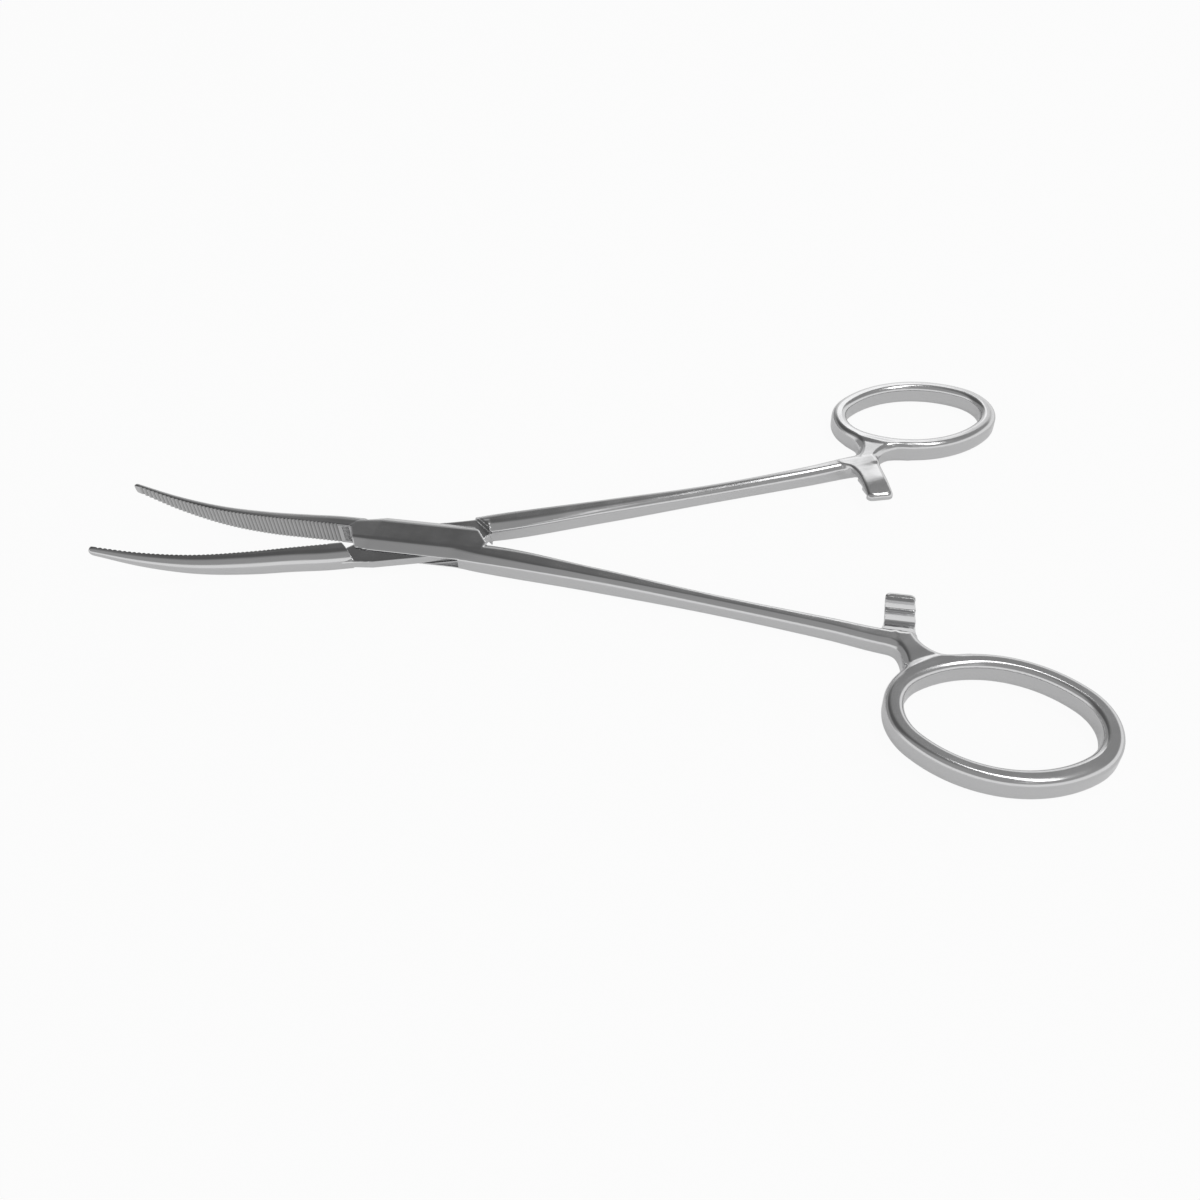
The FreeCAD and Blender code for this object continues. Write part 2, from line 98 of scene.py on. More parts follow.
def without(a, b, soft):
    # distance to what is left of a body after another is cut out of it
    return common(a, -b, soft)


def bevelled(side, up, halfHigh, bevel, drop, soft):
    # distance to a plate from the distance to its outline, its rims bevelled by bevel sideways and
    # drop downwards
    up = np.abs(up) - halfHigh
    corner = (side * drop + (up + drop) * bevel) / np.hypot(bevel, drop)
    return common(common(side, up, soft), corner, soft)


def halfPlane(x, u, start, stop):
    # distance from the line through two points, positive on its left
    run = np.array(stop) - np.array(start)
    return (run[0] * (u - start[1]) - run[1] * (x - start[0])) / np.hypot(*run)


def arcCentre(start, stop, radius, side):
    # centre of the arc of a radius through two points, to the left (+1) or right (-1) of the chord
    start, stop = np.array(start), np.array(stop)
    half = (stop - start) / 2
    depth = math.sqrt(max(radius ** 2 - half @ half, 0))
    return start + half + side * depth * np.array([-half[1], half[0]]) / np.hypot(*half)


lock = {
    "thick": 4.0, "width": 8.8, "bevel": 1.9, "bevelDrop": 1.1,
    "slotHigh": 1.5, "slideGap": 0.05, "seatGap": 0.15, "slotEnd": 6.75,
    "flareStart": 5.0, "crotch": 10.6, "crotchGap": 0.24,
    "wallEnd": 7.0, "shoulderRelief": 0.9, "jawShoulder": 14.0, "jawShoulderSide": 11.5,
    "flankStart": 9.0, "flankWidth": 3.4, "jawRoot": 16.0, "faceGap": 0.06,
    "edge": 0.22, "seam": 0.02,  # widths of the rounding along edges and where blank and bar meet
    "flareLead": 0.1,  # stretch on which the bar keeps the blank's section
    "flankBack": 2.0,  # how far the tongue's flank is cut back behind the flare's start
    "rootThin": 0.3, "rootDrop": 0.6,  # how the blank shrinks into the jaw towards its end
}


def boxBlank(x, u, z):
    # the lock's blank: a bevelled bar that narrows and shrinks into the jaw
    share = np.clip((-lock["flankStart"] - x) / (lock["jawRoot"] - lock["flankStart"]), 0, 1)
    jawSide = lock["width"] / 2 - (lock["width"] / 2 - lock["flankWidth"]) * share
    middle, halfHigh = (lock["width"] / 2 - jawSide) / 2, (lock["thick"] - lock["rootThin"] * share) / 2
    section = bevelled(
        np.abs(u - middle) - (lock["width"] / 2 + jawSide) / 2, z - lock["thick"] / 2, halfHigh,
        lock["bevel"], lock["bevelDrop"] + lock["rootDrop"] * share, lock["edge"])
    return common(section, np.maximum(x - lock["crotch"], -lock["jawRoot"] - x), lock["edge"])


shank = {
    # place along, across, width, thickness; the underside lies on z = 0
    "stations": [
        (30.0, 4.4, 3.6, 3.65), (48.0, 6.6, 2.8, 3.3), (66.0, 9.1, 3.0, 3.4), (76.4, 10.7, 3.4, 3.6)],
    "rootOuter": 4.85, "rootBevel": 1.5, "rootDrop": 0.95, "bevel": 0.85, "edge": 0.3,
    "topEdge": 0.1,  # width of the rounding where arm and ring are cut level with the bar
}


def shankBar(x, u, z):
    # the shank from inside the lock and the web at its end, as one plate whose section changes
    # smoothly along it
    rows = shank["stations"] + [web["end"]]
    inner = [lock["crotchGap"] / 2] * 3 + [row[1] - row[2] / 2 for row in rows]
    outer = [lock["width"] / 2] * 2 + [shank["rootOuter"]] + [row[1] + row[2] / 2 for row in rows]
    high = [lock["thick"]] * 3 + [row[3] for row in rows]
    bevel = [lock["bevel"]] * 2 + [shank["rootBevel"]] + [shank["bevel"]] * len(rows)
    drop = [lock["bevelDrop"]] * 2 + [shank["rootDrop"]] + [shank["bevel"]] * len(rows)
    start = lock["flareStart"]
    places = [start - lock["flareLead"], start, lock["crotch"]] + [row[0] for row in rows]
    inner, outer, high, bevel, drop = (
        smoothCurve(places, values)(x) for values in (inner, outer, high, bevel, drop))
    side = np.maximum(np.abs(u - (inner + outer) / 2) - (outer - inner) / 2, x - arm["at"])
    side = webPlan(x, u, side)
    section = bevelled(side, z - high / 2, high / 2, bevel, drop, shank["edge"])
    return common(section, start - x, shank["edge"]), high


ring = {
    "at": 89.1, "across": 23.4, "long": 13.5, "wide": 9.95, "endRadius": 7.8,
    "bar": 2.7, "high": 3.6, "round": 1.0,
}


def ringBar(x, u, z):
    # a rounded bar along an oval of four tangent arcs
    turn = ring["long"] - ring["endRadius"]
    sideRadius = ((turn ** 2 + ring["wide"] ** 2 - ring["endRadius"] ** 2)
                  / (2 * (ring["wide"] - ring["endRadius"])))
    drop = sideRadius - ring["wide"]
    px, pu = np.abs(x - ring["at"]), np.abs(u - ring["across"])
    onSide = turn * (pu + drop) - drop * px > 0
    reach = np.where(
        onSide, np.hypot(px, pu + drop) - sideRadius, np.hypot(px - turn, pu) - ring["endRadius"])
    a = np.abs(reach) - ring["bar"] / 2 + ring["round"]
    b = np.abs(z - lock["thick"] / 2) - ring["high"] / 2 + ring["round"]
    return np.hypot(np.maximum(a, 0), np.maximum(b, 0)) + np.minimum(np.maximum(a, b), 0) - ring["round"]


def onRing(angle, reach):
    # a point at an angle in degrees on the ring's oval widened by reach
    angle = math.radians(angle)
    return (ring["at"] + (ring["long"] + reach) * math.cos(angle),
            ring["across"] + (ring["wide"] + reach) * math.sin(angle))


web = {
    "start": 67.5, "end": (80.5, 10.7, 3.4, 3.8), "heelAt": 74.9, "heelAcross": 11.75,
    "heelRadius": 6.0, "heelAngle": 203.0, "toeAngle": 256.0, "toeRadius": 5.4,
    "corner": 0.8, "fillet": 0.7, "arcEdge": 0.1,
    "bite": 0.3,  # how far its outline lies inside the ring and the arm
    "proud": 0.05,  # how far it may stand above and below the ring's bar
}


def webPlan(x, u, side):
    # joins the outline of the web between shank, arm and ring to the shank's: five straight sides,
    # with an arc cut out at the heel and one at the toe
    across, width = shank["stations"][-1][1:3]
    reach = ring["bar"] / 2 - web["bite"]
    heel, heelEnd = (web["heelAt"], web["heelAcross"]), onRing(web["heelAngle"], reach)
    toe = (arm["at"] + arm["width"] / 2 - web["bite"], across - width / 2)
    toeEnd = onRing(web["toeAngle"], reach)
    outline = [heel, (heel[0], toe[1]), toe, toeEnd, heelEnd]
    shape = np.max([-halfPlane(x, u, one, two) for one, two in zip(outline, outline[1:] + outline[:1])], 0)
    for centre, radius in (
            (arcCentre(heel, heelEnd, web["heelRadius"], 1), web["heelRadius"]),
            (arcCentre(toe, toeEnd, web["toeRadius"], -1), web["toeRadius"])):
        shape = without(shape, np.hypot(x - centre[0], u - centre[1]) - radius, web["arcEdge"])
    return joined(shape, side, web["corner"])


arm = {
    "at": 76.4, "width": 4.4, "spread": 0.9, "rootLength": 4.0, "rootDeep": 1.2, "past": 0.2,
    "thick": 1.56, "endThick": 1.0, "gap": 0.1, "corner": 1.0, "edge": 0.2, "backEdge": 0.7,
    "toothPitch": 2.6, "toothDeep": 0.6, "toothBar": 1.0, "toothCount": 3, "toothEdge": 0.1,
    "fillet": 1.2,
}


def ratchetArm(x, u, z, isBox):
    # a bar that widens to its root and thins to its end, with saw teeth cut into the face
    # towards the other half's arm
    root = shank["stations"][-1][1] - shank["stations"][-1][2] / 2
    near, far = arm["at"] - arm["width"] / 2, arm["at"] + arm["width"] / 2
    widening = np.clip((u - root + arm["rootLength"]) / arm["rootLength"], 0, None)
    plan = common(
        np.maximum(near - arm["spread"] * widening ** 2 - x, x - far),
        np.maximum(-arm["past"] - u, u - root - arm["rootDeep"]), arm["corner"])
    taper = np.clip((root - arm["rootLength"] - u) / (root - arm["rootLength"] + arm["past"]), 0, 1)
    face = lock["thick"] / 2 + (-1 if isBox else 1) * arm["gap"] / 2
    up = (face - z) if isBox else (z - face)  # depth under the toothed face
    thick = arm["thick"] - (arm["thick"] - arm["endThick"]) * taper ** 2
    shape = common(common(plan, up - thick, arm["backEdge"]), -up, arm["edge"])
    slope = arm["toothDeep"] / arm["toothPitch"]
    for i in range(arm["toothCount"]):
        crest = arm["toothBar"] - arm["past"] + i * arm["toothPitch"]
        ramp = (up - arm["toothDeep"] + (u - crest) * slope) / math.hypot(1, slope)
        shape = without(shape, np.maximum(crest - u, ramp), arm["toothEdge"])
    return shape


def lockCuts(x, u, isBox):
    # plans of the cuts at the lock as distances, negative where metal goes
    half, face, gap = lock["width"] / 2, lock["faceGap"] / 2, lock["crotchGap"] / 2
    shoulder, shoulderSide = lock["jawShoulder"], lock["jawShoulderSide"]
    if isBox:
        jawEnd = -halfPlane(x, u, (-shoulder, -face), (-shoulderSide, half))
        ringEnd = halfPlane(x, u, (lock["wallEnd"], -half), (lock["crotch"] - lock["seatGap"], gap))
        ringStart = lock["wallEnd"]
    else:
        seat = lock["seatGap"]
        jawEnd = -halfPlane(x, u, (seat - shoulder, -face), (seat - lock["slotEnd"], half))
        ringEnd = halfPlane(x, u, (lock["slotEnd"] - seat, -half), (lock["crotch"] - seat, -gap))
        ringStart = lock["slotEnd"] - seat
    jawEnd = np.maximum(jawEnd, -face - u)
    ringEnd = np.maximum(ringEnd, np.maximum(u - gap, ringStart - x))
    return jawEnd, ringEnd


def slotCut(x, u, z):
    # the slot through the box: between two slanted ends, as high as the tongue and its play
    half, face, gap = lock["width"] / 2, lock["faceGap"] / 2, lock["crotchGap"] / 2
    right = halfPlane(x, u, (lock["slotEnd"], half), (lock["crotch"], gap))
    left = halfPlane(x, u, (-lock["slotEnd"], -half), (-lock["jawShoulder"], -face))
    plan = np.maximum(np.maximum(right, left), np.maximum(x - lock["crotch"], -lock["jawShoulder"] - x))
    return np.maximum(plan, np.abs(z - lock["thick"] / 2) - lock["slotHigh"] / 2)


def cheekCut(x, u, z):
    # what is cut away above and below the tongue, between its two shoulders
    half, face, gap, seat = lock["width"] / 2, lock["faceGap"] / 2, lock["crotchGap"] / 2, lock["seatGap"]
    shoulderAt = lock["wallEnd"] + lock["shoulderRelief"]
    left = -halfPlane(x, u, (-lock["jawShoulder"] - seat, -face), (-lock["jawShoulderSide"] - seat, -half))
    right = -halfPlane(x, u, (lock["crotch"] - seat / 2, gap), (shoulderAt, half))
    plan = np.maximum(np.maximum(left, right), -lock["jawShoulder"] - seat - x)
    tongue = lock["slotHigh"] / 2 - lock["slideGap"]
    faces = np.maximum(plan, tongue - np.abs(z - lock["thick"] / 2))
    flankAt = lock["flareStart"] - lock["flankBack"]
    return np.minimum(faces, np.maximum(np.maximum(x - shoulderAt, flankAt - x), half - u))


def halfShape(x, u, z, isBox):
    # distance to one forged half without its jaw
    shape = boxBlank(x, u, z)
    for cut in lockCuts(x, u, isBox):
        shape = without(shape, cut, lock["edge"])
    bar, high = shankBar(x, u, z)
    # the arm and the ring flow into the bar, with no bulge above and below it
    bar = joined(bar, ratchetArm(x, u, z, isBox), arm["fillet"])
    bar = common(bar, np.maximum(z - high, -z), shank["topEdge"])
    bar = joined(bar, ringBar(x, u, z), web["fillet"])
    halfHigh = np.where(x < web["start"], lock["thick"] / 2, ring["high"] / 2 + web["proud"])
    bar = common(bar, np.abs(z - lock["thick"] / 2) - halfHigh, shank["topEdge"])
    shape = joined(shape, bar, lock["seam"])
    return without(shape, slotCut(x, u, z) if isBox else cheekCut(x, u, z), lock["edge"])


grid = {
    # millimetres; cells are longer along the plain stretch of shank
    "low": (-16.5, -6.0, -0.33), "high": (104.5, 36.0, 4.4), "fine": 0.19,
    "plain": (14.0, 69.0), "plainStep": 0.45,
    # how often points are pulled onto the surface, how far off its slope is measured, and two limits
    "pulls": 3, "probe": 0.01, "leastSlope": 0.2, "longestPull": 0.1,
    # what lies closer is merged, what is shorter goes, and edges sharper than the angle stay sharp
    "weld": 0.002, "shortest": 0.001, "sharpAngle": 38.0,
}


def gridLines():
    # places of the grid's lines along, across and up
    low, high, fine, (plainStart, plainEnd) = grid["low"], grid["high"], grid["fine"], grid["plain"]
    along = np.concatenate([
        np.arange(low[0], plainStart, fine), np.arange(plainStart, plainEnd, grid["plainStep"]),
        np.arange(plainEnd, high[0], fine)])
    return along, np.arange(low[1], high[1], fine), np.arange(low[2], high[2], fine)


def skinOf(shape, xs, us, zs):
    # surface of zero distance on a grid: one corner in each cell that it crosses, at the mean of the
    # crossings on the cell's edges, joined across each grid edge that it crosses, then pulled onto it
    value = shape(xs[:, None, None], us[None, :, None], zs[None, None, :])
    inside = value < 0
    corners = [(a, b, c) for a in (0, 1) for b in (0, 1) for c in (0, 1)]
    size = tuple(n - 1 for n in inside.shape)
    count = sum(inside[a:a + size[0], b:b + size[1], c:c + size[2]].astype(np.int8) for a, b, c in corners)
    cells = np.argwhere((count > 0) & (count < 8))
    number = np.full(size, -1)
    number[tuple(cells.T)] = np.arange(len(cells))
    axes = (xs, us, zs)
    total, hits = np.zeros((len(cells), 3)), np.zeros(len(cells))
    for start in corners:
        for axis in range(3):
            if start[axis]:
                continue
            first = cells + np.array(start)
            second = first.copy()
            second[:, axis] += 1
            a, b = value[tuple(first.T)], value[tuple(second.T)]
            crossed = (a < 0) != (b < 0)
            share = np.where(crossed, a / np.where(crossed, a - b, 1), 0)
            for k in range(3):
                low, high = axes[k][first[:, k]], axes[k][second[:, k]]
                total[:, k] += np.where(crossed, low + (high - low) * share, 0)
            hits += crossed
    points = total / hits[:, None]
    quads = []
    for axis in range(3):
        one, two = [k for k in range(3) if k != axis]
        low = [slice(None)] * 3
        high = [slice(None)] * 3
        low[axis], high[axis] = slice(0, -1), slice(1, None)
        a, b = inside[tuple(low)], inside[tuple(high)]
        edges = np.argwhere(a != b)
        edges = edges[(edges[:, one] > 0) & (edges[:, two] > 0)
                      & (edges[:, one] < size[one]) & (edges[:, two] < size[two])]
        leaving = a[tuple(edges.T)]
        around = []
        for i, j in ((-1, -1), (0, -1), (0, 0), (-1, 0)):
            cell = edges.copy()
            cell[:, one] += i
            cell[:, two] += j
            around.append(number[tuple(cell.T)])
        quad = np.stack(around, axis=1)
        turned = leaving if axis != 1 else ~leaving  # the other two axes come in reverse order here
        quads.append(np.where(turned[:, None], quad, quad[:, ::-1]))
    step = grid["probe"]
    for _ in range(grid["pulls"]):
        at = [points[:, k] for k in range(3)]
        here = shape(*at)
        slope = np.stack([
            (shape(*[p + step * (k == n) for n, p in enumerate(at)])
             - shape(*[p - step * (k == n) for n, p in enumerate(at)])) / (2 * step)
            for k in range(3)], axis=1)
        move = here[:, None] * slope / np.maximum((slope ** 2).sum(1), grid["leastSlope"])[:, None]
        points = points - np.clip(move, -grid["longestPull"], grid["longestPull"])
    return points, np.concatenate(quads)


jaw = {
    # place along from the joint, width, height, rise of the middle
    "stations": [
        (14.3, 3.6, 3.9, 0.0), (16.0, 3.6, 3.9, 0.0), (23.0, 3.1, 3.9, 0.0), (30.0, 2.75, 3.8, 0.0),
        (40.0, 2.2, 3.15, 0.85), (47.5, 1.65, 2.4, 2.65), (54.9, 1.05, 1.4, 5.4)],
    "tipRound": 0.6, "tipGap": 0.02, "edge": 0.1,
    "groovePitch": 0.72, "grooveDeep": 0.28, "grooveCount": 52,
    # rows of points along it: before the grooves, in each groove, at the tip
    "rootRows": 30, "grooveRows": 8, "tipRows": 12,
    # points around it: across the face, round an edge, along a side, round the back
    "facePoints": 9, "edgePoints": 4, "sidePoints": 6, "backPoints": 19,
}


def jawSkin():
    # a section with a flat face and a half-round back, carried along the jaw. v is the depth behind
    # the face, and the face is pushed in by a row of cross grooves: v = max(v, groove's depth at x)
    rows = np.array(jaw["stations"])
    first = lock["jawRoot"] + jaw["groovePitch"] / 2
    last = first + jaw["grooveCount"] * jaw["groovePitch"]
    tip = rows[-1, 0]
    turn = jaw["tipRound"] * (1 - np.cos(np.linspace(np.pi / 2, 0, jaw["tipRows"])))
    x = np.concatenate([
        np.linspace(rows[0, 0], first, jaw["rootRows"])[:-1],
        np.linspace(first, last, jaw["grooveCount"] * jaw["grooveRows"] + 1),
        tip - turn[turn < tip - last - jaw["tipGap"]]])
    width, high, rise = (smoothCurve(rows[:, 0], rows[:, k])(x)[:, None] for k in (1, 2, 3))
    phase = (x - first) / jaw["groovePitch"]
    groove = jaw["grooveDeep"] * (1 - np.abs(2 * (phase % 1) - 1))
    groove = np.where((x > first) & (x < last), groove, 0)[:, None]
    edge = jaw["edge"]
    quarter = np.linspace(0, np.pi / 2, jaw["edgePoints"])
    back = np.linspace(0, np.pi, jaw["backPoints"])
    run = np.linspace(0, 1, jaw["sidePoints"])[1:-1]
    radius = high / 2
    flat = width - radius  # where the half-round back starts
    faceUp = np.linspace(-1, 1, jaw["facePoints"]) * (radius - edge)
    corner = edge * (1 - np.cos(quarter))[None, :]
    rim = radius - edge + edge * np.sin(quarter)[None, :]
    v = np.hstack([
        np.zeros(faceUp.shape), np.repeat(corner[:, 1:], len(x), 0), edge + (flat - edge) * run,
        flat + radius * np.sin(back), edge + (flat - edge) * run[::-1],
        np.repeat(corner[:, :0:-1], len(x), 0)])
    up = np.hstack([
        faceUp, rim[:, 1:], radius.repeat(len(run), 1), radius * np.cos(back),
        -radius.repeat(len(run), 1), -rim[:, :0:-1]])
    v = np.maximum(v, groove)
    # the tip closes on an ellipse over its last stretch
    past = ((x - tip + jaw["tipRound"]) / jaw["tipRound"]).clip(0)
    close = np.sqrt((1 - past ** 2).clip(0, 1))[:, None]
    v = width / 2 + (v - width / 2) * close
    up = up * close
    around = v.shape[1]
    # it starts on a slant, so that it stays behind the slanted shoulders of the lock
    slant = (lock["jawShoulder"] - lock["jawShoulderSide"]) / (lock["width"] / 2)
    xs = slant * v * ((first - x) / (first - x[0])).clip(0)[:, None] - x[:, None]
    points = np.stack([xs, -lock["faceGap"] / 2 - v, lock["thick"] / 2 + rise + up], axis=2)
    capped = points[:1].mean(axis=1, keepdims=True).repeat(around, 1)
    points = np.concatenate([capped, points])
    i, j = np.meshgrid(np.arange(len(points) - 1), np.arange(around), indexing="ij")
    row, after = i * around, (j + 1) % around
    quads = np.stack([row + j, row + after, row + around + after, row + around + j], 2)
    return points.reshape(-1, 3), quads.reshape(-1, 4)


def makeHalf(isBox, body, material):
    # the forged half and its jaw, as two closed surfaces in one mesh
    side = -1 if isBox else 1
    name = "boxHalfForging" if isBox else "tongueHalfForging"
    points, quads = skinOf(lambda x, u, z: halfShape(x, u, z, isBox), *gridLines())
    jawPoints, jawQuads = jawSkin()
    allPoints = placeHalf(np.concatenate([points, jawPoints]), side)
    allQuads = np.concatenate([quads, jawQuads + len(points)])
    if isBox:
        allQuads = allQuads[:, ::-1]  # mirrored, so the corners go round the other way
    piece = makeObject(name, allPoints, allQuads, body, material)
    closeMesh(piece.data)
    # painted shade for the bottoms of the jaw's grooves
    paintShadeInGrooves(piece.data, side)
    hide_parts("box_half" if isBox else "tongue_half")
    print(name, len(piece.data.vertices), "vertices", len(piece.data.polygons), "faces")


def paintShadeInGrooves(mesh, side):
    # writes how deep each corner lies below the jaw's face, from 0 to 1 at a groove's bottom, into an
    # attribute that darkens the steel's colour there: painted shade in the jaw's grooves
    places = np.empty(len(mesh.vertices) * 3)
    mesh.vertices.foreach_get("co", places)
    x, y = places.reshape(-1, 3)[:, 0] / mm, places.reshape(-1, 3)[:, 1] / mm
    turn = side * opening / 2
    along = x * math.cos(turn) + y * math.sin(turn)
    u = side * (y * math.cos(turn) - x * math.sin(turn))
    depth = (-lock["faceGap"] / 2 - u) / jaw["grooveDeep"]
    onFace = (along < -lock["jawRoot"]) & (depth < 1.1) & (depth > 0)  # no deeper than a groove
    shade = mesh.attributes.new("paintedShadeInGrooves", "FLOAT", "POINT")
    shade.data.foreach_set("value", np.where(onFace, depth.clip(0, 1), 0))


def closeMesh(mesh):
    # merges the collapsed rows at the jaw's two ends and marks its sharp edges
    work = bmesh.new()
    work.from_mesh(mesh)
    bmesh.ops.remove_doubles(work, verts=work.verts, dist=grid["weld"] * mm)
    bmesh.ops.dissolve_degenerate(work, edges=work.edges, dist=grid["shortest"] * mm)
    work.to_mesh(mesh)
    work.free()
    mesh.set_sharp_from_angle(angle=math.radians(grid["sharpAngle"]))


pin = {"radius": 1.4, "sunk": 0.02, "edge": 0.12, "rimPoints": 5, "sides": 64}


def makePin(material):
    # a round pin with rounded rims, its profile turned about the joint's axis
    rim, edge, n = np.linspace(0, np.pi / 2, pin["rimPoints"]), pin["edge"], pin["sides"]
    low, high = pin["sunk"], lock["thick"] - pin["sunk"]
    lowRim = np.stack([pin["radius"] - edge * (1 - np.sin(rim)), low + edge * (1 - np.cos(rim))], 1)
    highRim = np.stack([lowRim[::-1, 0], high + low - lowRim[::-1, 1]], 1)
    profile = np.concatenate([[[0.0, low]], lowRim, highRim, [[0.0, high]]])
    angle = np.linspace(0, 2 * np.pi, n, endpoint=False)
    points = np.stack([
        profile[:, :1] * np.cos(angle), profile[:, :1] * np.sin(angle),
        profile[:, 1:].repeat(n, 1)], axis=2).reshape(-1, 3) * mm
    i, j = np.meshgrid(np.arange(len(profile) - 1), np.arange(n), indexing="ij")
    row, after = i * n, (j + 1) % n
    quads = np.stack([row + j, row + after, row + n + after, row + n + j], 2).reshape(-1, 4)
    piece = makeObject("jointPinTurned", points, quads, "box_half_body", material)
    closeMesh(piece.data)
    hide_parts("joint_pin")
    print("jointPinTurned", len(piece.data.vertices), "vertices", len(piece.data.polygons), "faces")


def addNode(tree, kind, place, **settings):
    # a shader node with its settings and the values of its inputs
    node = tree.nodes.new(kind)
    node.location = place
    for name, value in settings.items():
        if hasattr(node, name):
            setattr(node, name, value)
        else:
            node.inputs[name.replace("_", " ")].default_value = value
    return node


polish = {
    # the second colour is painted shade, laid into the bottoms of the jaw's grooves
    "colour": (0.66, 0.66, 0.665, 1), "paintedShadeColour": (0.40, 0.40, 0.40, 1),
    # roughness from clouds + hairShare * hairs, which runs over roughSpan
    "roughLow": 0.09, "roughHigh": 0.22, "hairShare": 0.45, "roughSpan": (0.45, 1.0),
    # noise: waves in a metre along, across and up, and the number of finer layers
    "streak": (60, 1400, 1400), "hair": (300, 9000, 9000), "cloud": (260, 260, 260),
    "streakDetail": 2, "hairDetail": 3, "cloudDetail": 4, "grain": 0.55,
    # bumps: strength, and height in metres
    "streakBump": (0.14, 0.00002), "hairBump": (0.06, 0.00001), "cloudBump": (0.03, 0.0001),
}
pinPolish = dict(polish, roughLow=0.16, roughHigh=0.3, hair=(6000, 6000, 900))
shankLean = 17  # the shanks' direction at rest, in degrees from the x axis


def makeSteel(name, look, turn):
    # bright steel: roughness varies in soft clouds, and the polishing wheel has left long shallow
    # waves and fine hairlines; turn is the direction of the shank, in degrees
    material = bpy.data.materials.new(name)
    material.use_nodes = True
    tree = material.node_tree
    link = tree.links.new
    shader = tree.nodes["Principled BSDF"]
    shader.inputs["Metallic"].default_value = 1
    # painted shade: the colour darkens towards the bottoms of the jaw's grooves, by how deep each point
    # lies
    groove = addNode(tree, "ShaderNodeAttribute", (-700, 500), attribute_name="paintedShadeInGrooves")
    tone = addNode(tree, "ShaderNodeMix", (-500, 500), data_type="RGBA")
    tone.inputs["A"].default_value = look["colour"]
    tone.inputs["B"].default_value = look["paintedShadeColour"]
    link(groove.outputs["Fac"], tone.inputs["Factor"])
    link(tone.outputs["Result"], shader.inputs["Base Color"])
    where = addNode(tree, "ShaderNodeTexCoord", (-1600, 0))
    turned = addNode(tree, "ShaderNodeMapping", (-1400, 0))
    turned.inputs["Rotation"].default_value = (0, 0, math.radians(-turn))
    link(where.outputs["Object"], turned.inputs["Vector"])

    def stretchedNoise(kind, place):
        stretch = addNode(tree, "ShaderNodeMapping", (-1200, place))
        stretch.inputs["Scale"].default_value = look[kind]
        noise = addNode(
            tree, "ShaderNodeTexNoise", (-1000, place),
            Scale=1, Detail=look[kind + "Detail"], Roughness=look["grain"])
        link(turned.outputs["Vector"], stretch.inputs["Vector"])
        link(stretch.outputs["Vector"], noise.inputs["Vector"])
        return noise.outputs["Fac"]

    marks = {"streak": stretchedNoise("streak", 200), "hair": stretchedNoise("hair", -100),
             "cloud": stretchedNoise("cloud", -400)}
    both = addNode(tree, "ShaderNodeMath", (-700, 0), operation="MULTIPLY_ADD")
    both.inputs[1].default_value = look["hairShare"]
    rough = addNode(tree, "ShaderNodeMapRange", (-500, 0))
    rough.inputs["From Min"].default_value, rough.inputs["From Max"].default_value = look["roughSpan"]
    rough.inputs["To Min"].default_value = look["roughLow"]
    rough.inputs["To Max"].default_value = look["roughHigh"]
    link(marks["hair"], both.inputs[0])
    link(marks["cloud"], both.inputs[2])
    link(both.outputs["Value"], rough.inputs["Value"])
    link(rough.outputs["Result"], shader.inputs["Roughness"])
    before = None
    for i, (kind, height) in enumerate(marks.items()):
        strength, distance = look[kind + "Bump"]
        bump = addNode(tree, "ShaderNodeBump", (-500 + 200 * i, -300), Strength=strength, Distance=distance)
        link(height, bump.inputs["Height"])
        if before:
            link(before, bump.inputs["Normal"])
        before = bump.outputs["Normal"]
    link(before, shader.inputs["Normal"])
    return material


makeHalf(True, "box_half_body", makeSteel("boxHalfSteel", polish, -shankLean))
makeHalf(False, "tongue_half_body", makeSteel("tongueHalfSteel", polish, shankLean))
makePin(makeSteel("flushPinSteel", pinPolish, 0))

studio = {
    "floor": 3.0, "floorColour": (0.92, 0.92, 0.92, 1), "cameraShare": 0.94, "mirrorShare": 0.35,
    # brightness of the room: above at the back left, back right and front; low down, and there at the
    # back left
    "back": 0.12, "backRight": 0.31, "front": 0.38, "wall": 0.95, "lowBack": 0.35,
    # where one brightness goes over into the next, as parts of a direction of length 1
    "leftToRight": (-0.3, 0.3), "frontToBack": (-0.2, 0.3), "lowLeftToRight": (-0.35, 0.1),
    "lowToHigh": (0.45, 0.6),
    "mirrorLow": 0.06,  # mirrors see the room white below this height
    # bright windows that the polished steel mirrors: direction, half width in degrees, brightness
    "windows": (((0.16, 0.83, 0.52), 8, 1.4), ((0.30, -0.53, 0.79), 6, 1.0)),
}
lamp = {"place": (0.36, 0.10, 0.80), "target": (0.028, 0.0, 0.0), "size": (0.6, 0.12), "power": 0.9}


